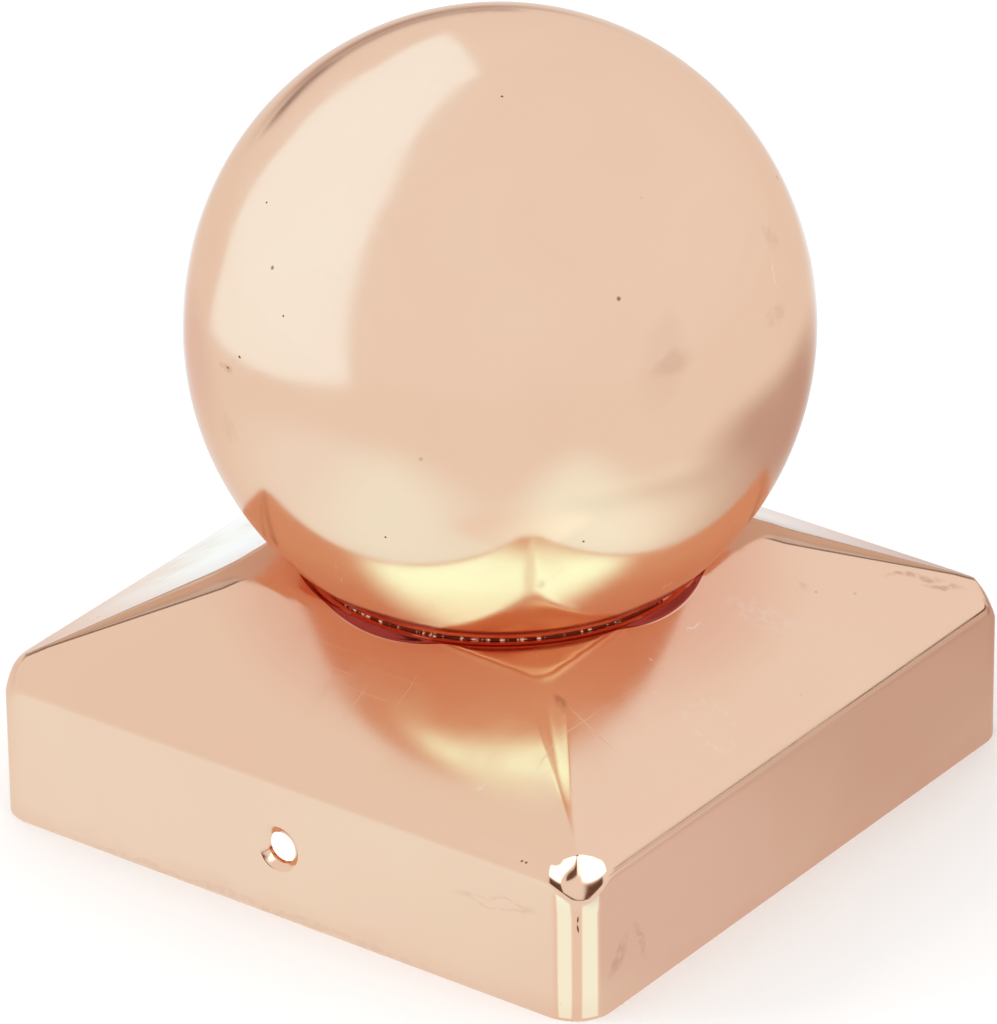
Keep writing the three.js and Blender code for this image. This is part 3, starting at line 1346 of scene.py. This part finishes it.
    def build(self, cap: bpy.types.Object, ball: bpy.types.Object) -> None:
        """Sets the table, the room's light, the window card and the key light.

        Args:
            cap: the piece that mirrors the room as it is.
            ball: the piece that mirrors an even room and the window card.
        """
        bpy.context.scene.view_settings.view_transform = "Standard"
        self._floor()
        self._room()
        self._pane("corner_glow", self.fan_height, TableFan.apex(), TableFan.length, self.corner_fans, cap)
        self._pane("belly_glow", self.belly_height, Vector(), self.belly_half, self.belly_patches, ball)
        self._dome("corner_dome", self.corner_radius, cap, self._corner_light, self.corner_at)
        self._dome("panel_dome", self.panel_radius, cap, self._panel_light)
        self._dome("even_dome", self.even_radius, ball, self._even_light)
        self._window(ball)
        self._key()
        self._hollow_light()

    def _floor(self) -> None:
        """Makes the plain pale table top, with painted pools of light and painted shadows that only the
        copper's reflections show.
        """
        bm = bmesh.new()
        bmesh.ops.create_grid(bm, x_segments=1, y_segments=1, size=self.floor_half)
        material = bpy.data.materials.new("pale_table")
        material.use_nodes = True
        sheet = NodeSheet(material.node_tree)
        place = sheet.place()
        tone = self.mirrored_tone
        for patch in self.table_patches:
            tone = sheet.mixed(patch.mask(sheet, place), tone, patch.tone)
        tone = sheet.mixed(self._bounce(sheet, Bounce.LATER), tone, self.later_tone)
        matte = sheet.add("ShaderNodeBsdfDiffuse", None, {"Color": self.floor_tone})
        glow = sheet.add("ShaderNodeEmission", None, {"Color": tone, "Strength": 1.0})
        mirrored = sheet.out(sheet.add("ShaderNodeLightPath"), "Is Glossy Ray")
        both = sheet.add("ShaderNodeMixShader", None,
                         {0: mirrored, 1: sheet.out(matte), 2: sheet.out(glow)})
        material.cycles.emission_sampling = "NONE"
        sheet.add("ShaderNodeOutputMaterial", None, {"Surface": sheet.out(both)})
        object_from(bm, "table_top", material)

    def _pane(self, name: str, height: float, middle: Vector, half: float,
              patches: tuple["TablePatch | TableFan", ...], taker: bpy.types.Object) -> None:
        """Lays a clear pane just over the table, with patches of light that one piece mirrors.

        Args:
            name: the pane's name.
            height: its height over the table.
            middle: its middle on the table.
            half: half of its width.
            patches: the patches of light.
            taker: the piece.
        """
        bm = bmesh.new()
        bmesh.ops.create_grid(bm, x_segments=1, y_segments=1, size=half)
        bmesh.ops.translate(bm, vec=middle + Vector((0.0, 0.0, height)), verts=bm.verts)
        material = bpy.data.materials.new(name)
        material.use_nodes = True
        sheet = NodeSheet(material.node_tree)
        place = sheet.place()
        tone = (0.0, 0.0, 0.0, 1.0)
        for patch in patches:
            tone = sheet.out(sheet.add("ShaderNodeMix", {"data_type": "RGBA", "blend_type": "ADD"},
                                       {0: patch.mask(sheet, place), 6: tone, 7: patch.tone}), 2)
        self._show(sheet, sheet.add("ShaderNodeEmission", None, {"Color": tone, "Strength": 1.0}))
        self._lend(object_from(bm, name, material), taker)

    def _walls(self, sheet: NodeSheet, way: Signal) -> Signal:
        """Gives the colour of the room's walls: dark low down in front, dim behind.

        Args:
            sheet: the nodes that they are drawn with.
            way: the direction that light comes from.

        Returns:
            The colour.
        """
        low = sheet.window(sheet.axis(way, "Z"), self.shade_top, self.shade_full)
        front = sheet.dot(way, direction(0.0, 0.0))
        dark = low * sheet.window(front, *self.shade_sides) * (1.0 - self.doorway.mask(sheet, way))
        for panel in self.dark_panels:
            dark = dark.at_least(panel.mask(sheet, way))
        dim = 0.0
        for zone in self.dim_zones:
            dim = dim + zone.mask(sheet, way)
        right = sheet.window(sheet.dot(way, direction(90.0, 0.0)), *self.right_share)
        tone = sheet.mixed(right, self.wall, self.right_wall)
        return sheet.mixed(dark, sheet.mixed(dim, tone, self.dusk), self.shade)

    def _horizon(self, sheet: NodeSheet, way: Signal) -> Signal:
        """Gives how dark the far end of the room is, behind on the left."""
        return self.left_horizon.mask(sheet, way) + self.dark_horizon.mask(sheet, way)

    def _panels(self, sheet: NodeSheet, way: Signal, panels: tuple[LightPanel, ...]) -> Signal:
        """Gives how much of the softboxes' light comes from a direction.

        Args:
            sheet: the nodes that they are drawn with.
            way: the direction.
            panels: the softboxes.

        Returns:
            The sum of their masks.
        """
        total = 0.0
        for panel in panels:
            total = total + panel.mask(sheet, way)
        return total

    def _bounce(self, sheet: NodeSheet, bounce: Bounce) -> Signal:
        """Gives 1 for the rays of one kind of bounce and 0 for the others.

        Args:
            sheet: the nodes that it is drawn with.
            bounce: the kind of bounce.

        Returns:
            The mask.
        """
        count = sheet.out(sheet.add("ShaderNodeLightPath"), "Glossy Depth")
        later = (count - 1.0).at_least(0.0).at_most(1.0)
        return later if bounce is Bounce.LATER else 1.0 - later

    def _room(self) -> None:
        """Lights the room: even for the table, walls for what is mirrored."""
        world = bpy.data.worlds.new("white_room")
        world.use_nodes = True
        world.cycles.sampling_method = "NONE"
        bpy.context.scene.world = world
        sheet = NodeSheet(world.node_tree)
        way = sheet.out(sheet.add("ShaderNodeTexCoord"), "Generated")
        mirrored = sheet.out(sheet.add("ShaderNodeLightPath"), "Is Glossy Ray")
        even = (self.table_light, self.table_light, self.table_light, 1.0)
        walls = sheet.mixed(self._horizon(sheet, way), self._walls(sheet, way), self.shade)
        plain, first, later = (
            sheet.out(sheet.add("ShaderNodeBackground", None, {"Color": tone, "Strength": 1.0}))
            for tone in (even, walls, self.later_tone))
        seen = sheet.out(self._by_bounce(sheet, first, later))
        room = sheet.add("ShaderNodeMixShader", None, {0: mirrored, 1: plain, 2: seen})
        sheet.add("ShaderNodeOutputWorld", None, {"Surface": sheet.out(room)})

    def _by_bounce(self, sheet: NodeSheet, first: Signal | None, later: Signal | None) -> bpy.types.Node:
        """Shows one light in the first bounce and another in later ones, and works out only that one.

        Args:
            sheet: the nodes that they are drawn with.
            first: the light of the first bounce, or None for no light.
            later: the light of the later bounces, or None for no light.

        Returns:
            The node that holds both.
        """
        lights = {key: light for key, light in ((1, first), (2, later)) if light}
        return sheet.add("ShaderNodeMixShader", None, {0: self._bounce(sheet, Bounce.LATER), **lights})

    def _glow(self, sheet: NodeSheet, tone: "Signal | Colour", strength: Signal) -> Signal:
        """Gives a light of one tone."""
        return sheet.out(sheet.add("ShaderNodeEmission", None, {"Color": tone, "Strength": strength}))

    def _corner_light(self, sheet: NodeSheet, way: Signal) -> bpy.types.Node:
        """Draws the two softboxes by the front corner, as the corner mirrors them.

        Args:
            sheet: the nodes that they are drawn with.
            way: the direction that light comes from.

        Returns:
            The node of the light.
        """
        clear = (1.0 - self.doorway.mask(sheet, way)) * self.panel_strength
        strength = self._panels(sheet, way, self.corner_panels) * clear
        return self._by_bounce(sheet, self._glow(sheet, self.panel_tone, strength), None)

    def _panel_light(self, sheet: NodeSheet, way: Signal) -> bpy.types.Node:
        """Draws the softboxes as the cap mirrors them by way of the ball.

        Args:
            sheet: the nodes that they are drawn with.
            way: the direction that light comes from.

        Returns:
            The node of the light.
        """
        strength = self._panels(sheet, way, self.roof_panels) * self.glow_strength
        return self._by_bounce(sheet, None, self._glow(sheet, self.glow_tone, strength))

    def _even_light(self, sheet: NodeSheet, way: Signal) -> bpy.types.Node:
        """Draws what the walls lack of an even room, and the softboxes by way of the cap.

        Args:
            sheet: the nodes that they are drawn with.
            way: the direction that light comes from.

        Returns:
            The node of the light.
        """
        even = (self.room, self.room, self.room, 1.0)
        lack = sheet.out(sheet.add("ShaderNodeMix", {"data_type": "RGBA", "blend_type": "SUBTRACT"},
                                   {0: 1.0, 6: even, 7: self._walls(sheet, way)}), 2)
        first = 1.0 - self._horizon(sheet, way)
        later = self._panels(sheet, way, self.ball_panels) * self.glow_strength
        glow = self._glow(sheet, self.glow_tone, later)
        return self._by_bounce(sheet, self._glow(sheet, lack, first), glow)

    def _dome(self, name: str, radius: float, taker: bpy.types.Object,
              light: Callable[[NodeSheet, Signal], bpy.types.Node],
              centre: tuple[float, float, float] = (0.0, 0.0, 0.0)) -> None:
        """Makes a dome of light that blocks nothing and that one piece mirrors.

        Args:
            name: the dome's name.
            radius: its radius, which no other dome has.
            taker: the piece.
            light: draws the dome's light for a direction.
            centre: its middle.
        """
        bm = bmesh.new()
        bmesh.ops.create_icosphere(bm, subdivisions=3, radius=radius)
        foot = Vector((0.0, 0.0, self.dome_foot * radius))
        bmesh.ops.bisect_plane(bm, geom=bm.verts[:] + bm.edges[:] + bm.faces[:], plane_co=foot,
                               plane_no=(0.0, 0.0, -1.0), clear_outer=True)
        bmesh.ops.translate(bm, vec=centre, verts=bm.verts)
        material = bpy.data.materials.new(name)
        material.use_nodes = True
        sheet = NodeSheet(material.node_tree)
        away = sheet.add("ShaderNodeVectorMath", {"operation": "SUBTRACT"},
                         {0: sheet.place(), 1: centre})
        unit = sheet.add("ShaderNodeVectorMath", {"operation": "NORMALIZE"}, {0: sheet.out(away)})
        self._show(sheet, light(sheet, sheet.out(unit)))
        self._lend(object_from(bm, name, material), taker)

    def _show(self, sheet: NodeSheet, light: bpy.types.Node) -> None:
        """Lays a light over a clear pane.

        Args:
            sheet: the pane's nodes.
            light: the node of the light.
        """
        clear = sheet.add("ShaderNodeBsdfTransparent")
        both = sheet.add("ShaderNodeAddShader", None, {0: sheet.out(light), 1: sheet.out(clear)})
        sheet.add("ShaderNodeOutputMaterial", None, {"Surface": sheet.out(both)})

    def _lend(self, pane: bpy.types.Object, taker: bpy.types.Object) -> None:
        """Lets one piece alone mirror a pane of light.

        Args:
            pane: the pane or dome.
            taker: the piece.
        """
        pane.visible_camera = False
        pane.visible_diffuse = False
        pane.visible_shadow = False
        pane.active_material.cycles.emission_sampling = "NONE"
        takers = bpy.data.collections.new(pane.name + "_takers")
        takers.objects.link(taker)
        pane.light_linking.receiver_collection = takers

    def _window(self, ball: bpy.types.Object) -> None:
        """Makes the window card that the ball mirrors, as a pane of light that blocks nothing.

        Args:
            ball: the piece that mirrors it.
        """
        middle = Vector((self.window_at, *self.window_middle))
        bm = bmesh.new()
        for y, z in self.window_outline:
            bm.verts.new((self.window_at, y, z))
        made = bmesh.ops.contextual_create(bm, geom=bm.verts[:])
        glow = bm.verts.layers.float.new("glow")
        outer = bm.verts[:]
        bmesh.ops.inset_region(bm, faces=made["faces"], thickness=self.window_inset, use_even_offset=True)
        inner = made["faces"][0].verts[:]
        for verts, size in ((outer, 1.0 + self.window_soft), (inner, 1.0 - self.window_soft)):
            bmesh.ops.scale(bm, vec=(1.0, size, size), space=Matrix.Translation(-middle), verts=verts)
        for vert in inner:
            vert[glow] = 1.0
        material = bpy.data.materials.new("window_light")
        material.use_nodes = True
        sheet = NodeSheet(material.node_tree)
        share = sheet.out(sheet.add("ShaderNodeAttribute", {"attribute_name": "glow"}), "Fac")
        light = sheet.add("ShaderNodeEmission", None, {
            "Color": self.window_tone,
            "Strength": share * self.window_strength * self._bounce(sheet, Bounce.FIRST)})
        self._show(sheet, light)
        self._lend(object_from(bm, "window_card", material), ball)

    def _key(self) -> None:
        """Makes the soft key light, which lights the table from the left and isn't mirrored."""
        data = bpy.data.lights.new("key_light", "AREA")
        data.energy = self.key_strength
        data.size = self.key_size
        light = bpy.data.objects.new("key_light", data)
        light.location = self.key_at
        light.rotation_euler = (-Vector(self.key_at)).to_track_quat("-Z", "Y").to_euler()
        light.visible_glossy = False
        bpy.context.scene.collection.objects.link(light)

    def _hollow_light(self) -> None:
        """Lights the hollow of the cap, so that the nail holes look through to a pale table."""
        data = bpy.data.lights.new("hollow_light", "POINT")
        data.energy = self.hollow_strength
        data.shadow_soft_size = self.hollow_size
        light = bpy.data.objects.new("hollow_light", data)
        light.location = (0.0, 0.0, self.hollow_height)
        light.visible_glossy = False
        bpy.context.scene.collection.objects.link(light)


BALL_MIDDLE = 0.0496


def on_ball(x: float, y: float, z: float, half_length: float, half_width: float,
            turn: float = 0.0, weight: float = 1.0) -> Mark:
    """Gives a mark on the ball, which faces away from the ball's middle.

    Args:
        x: the mark's place along X.
        y: its place along Y.
        z: its place along Z.
        half_length: half of its length.
        half_width: half of its width.
        turn: its turn from the level, in degrees.
        weight: how strongly it shows.

    Returns:
        The mark.
    """
    return Mark((x, y, z), (x, y, z - BALL_MIDDLE), half_length, half_width, turn, weight)


CAP_STAINS_AND_SHADE = (
    Mark((0.0218, -0.0202, 0.0236), Face.HIP.value, 0.0016, 0.0009, -80.0, 0.75),
    Mark((0.0258, -0.0362, 0.0105), Face.FRONT_WALL.value, 0.0064, 0.0009, 8.0, 0.30, hollow=0.55),
    Mark((0.0362, -0.0307, 0.0056), Face.RIGHT_WALL.value, 0.0030, 0.0011, 52.0, 0.40),
    Mark((0.0362, -0.0272, 0.0056), Face.RIGHT_WALL.value, 0.0030, 0.0007, 108.0, 0.35),
    Mark((0.0303, 0.0275, 0.0189), Face.RIGHT_ROOF.value, 0.0040, 0.0005, 146.0, 0.60),
    Mark((0.0325, 0.0296, 0.0177), Face.RIGHT_ROOF.value, 0.0034, 0.0004, 142.0, 0.55),
    Mark((0.0252, 0.0155, 0.0218), Face.RIGHT_ROOF.value, 0.0010, 0.0007, -98.0, 0.25),
    Mark((0.0358, 0.0326, 0.0152), Face.RIGHT_WALL.value, 0.0011, 0.0006, -100.0, 0.75),
    # painted shade: a faint dark line along the foot of the front wall
    Mark((-0.0040, -0.0362, 0.0004), Face.FRONT_WALL.value, 0.0330, 0.0006, 0.0, 0.15))
CAP_SCUFFS = (
    Mark((0.0251, 0.0085, 0.0218), Face.RIGHT_ROOF.value, 0.0062, 0.0030, -60.0, 0.16, 0.0),
    Mark((0.0226, 0.0002, 0.0232), Face.RIGHT_ROOF.value, 0.0024, 0.00013, -3.0),
    Mark((0.0233, -0.0066, 0.0228), Face.RIGHT_ROOF.value, 0.0009, 0.00016, -76.0),
    Mark((0.0253, -0.0105, 0.0217), Face.RIGHT_ROOF.value, 0.0016, 0.00013, -16.0),
    Mark((0.0309, -0.0079, 0.0186), Face.RIGHT_ROOF.value, 0.0030, 0.0042, -31.0, 0.35, hollow=0.75),
    Mark((0.0202, -0.0306, 0.0188), Face.FRONT_ROOF.value, 0.0016, 0.0003, 49.0, 0.6))
CAP_NICKS = (
    Mark((0.0285, -0.0356, 0.0157), Face.FRONT_ROOF.value, 0.00022, 0.00014, 17.0, 0.9),
    Mark((0.0290, -0.0356, 0.0157), Face.FRONT_ROOF.value, 0.00022, 0.00014, 17.0, 0.9),
    Mark((0.0347, -0.0352, 0.0112), Face.CORNER.value, 0.0005, 0.00012, 84.0),
    Mark((0.0347, -0.0352, 0.0102), Face.CORNER.value, 0.0006, 0.00013, 97.0))
BALL_STAINS = (
    on_ball(0.0265, 0.0079, 0.0635, 0.0022, 0.0014, -59.0, 0.18),
    on_ball(0.0296, 0.0044, 0.0573, 0.0027, 0.0012, 7.0, 0.20),
    on_ball(-0.0112, -0.0286, 0.0467, 0.0026, 0.0020, -22.0, 0.14),
    on_ball(-0.0115, -0.0284, 0.0530, 0.0016, 0.0005, 8.0, 0.45))
# painted reflection of a dark object, as a dark patch on the ball's right side
BALL_PAINTED_REFLECTIONS = (
    on_ball(0.0279, -0.0105, 0.0577, 0.0026, 0.0016, 10.0, 0.22),
    on_ball(0.0275, -0.0110, 0.0580, 0.0060, 0.0034, 70.0, 0.10))
BALL_SCUFFS = (
    on_ball(0.0006, -0.0266, 0.0337, 0.0032, 0.00012, -99.0, 0.8),
    on_ball(0.0277, 0.0060, 0.0605, 0.0020, 0.00012, 60.0, 0.7))
BALL_NICKS = (
    on_ball(-0.0094, -0.0289, 0.0552, 0.00030, 0.00018),
    on_ball(-0.0110, -0.0221, 0.0684, 0.00020, 0.00015),
    on_ball(-0.0043, -0.0285, 0.0609, 0.00018, 0.00015),
    on_ball(-0.0111, -0.0285, 0.0534, 0.00030, 0.00012),
    on_ball(0.0067, -0.0082, 0.0790, 0.00018, 0.00018),
    on_ball(0.0076, -0.0287, 0.0409, 0.00016, 0.00018),
    on_ball(0.0233, -0.0183, 0.0408, 0.00016, 0.00018))


def fit(piece: bpy.types.Object, slot: Slot, *nodes: str) -> None:
    """Ties a piece to the frame: its body and the solids that it stands for.

    Args:
        piece: the finished piece.
        slot: not used.
        nodes: the solids that it replaces.
    """
    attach(piece, BODY)
    if nodes:
        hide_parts(*nodes)
    LOG.info("%s: %d faces", piece.name, len(piece.data.polygons))


def main() -> None:
    """Builds the camera, the pieces and the studio in order."""
    logging.basicConfig(level=logging.INFO)
    PhotoCamera().place()
    cap_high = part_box("cap")[1]
    ball_low, ball_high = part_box("ball")
    cap_copper = CapCopper("cap_copper", CAP_STAINS_AND_SHADE, CAP_SCUFFS, CAP_NICKS).material()
    ball_copper = BallCopper("ball_copper", BALL_STAINS, BALL_SCUFFS, BALL_NICKS, BALL_PAINTED_REFLECTIONS).material()
    cap = CapShell(half_width=cap_high.x, seat_height=cap_high.z).dress(cap_copper)
    fit(cap, Slot.CAP, "cap")
    ball = Ball(radius=ball_high.x, foot_height=ball_low.z, top_height=ball_high.z).dress(ball_copper)
    fit(ball, Slot.BALL, "ball")
    braze = BrazeLine(seat_height=cap_high.z).dress(BrazeFinish("braze").material())
    fit(braze, Slot.CAP)
    Studio().build(cap, ball)


if __name__ == "__main__":
    main()
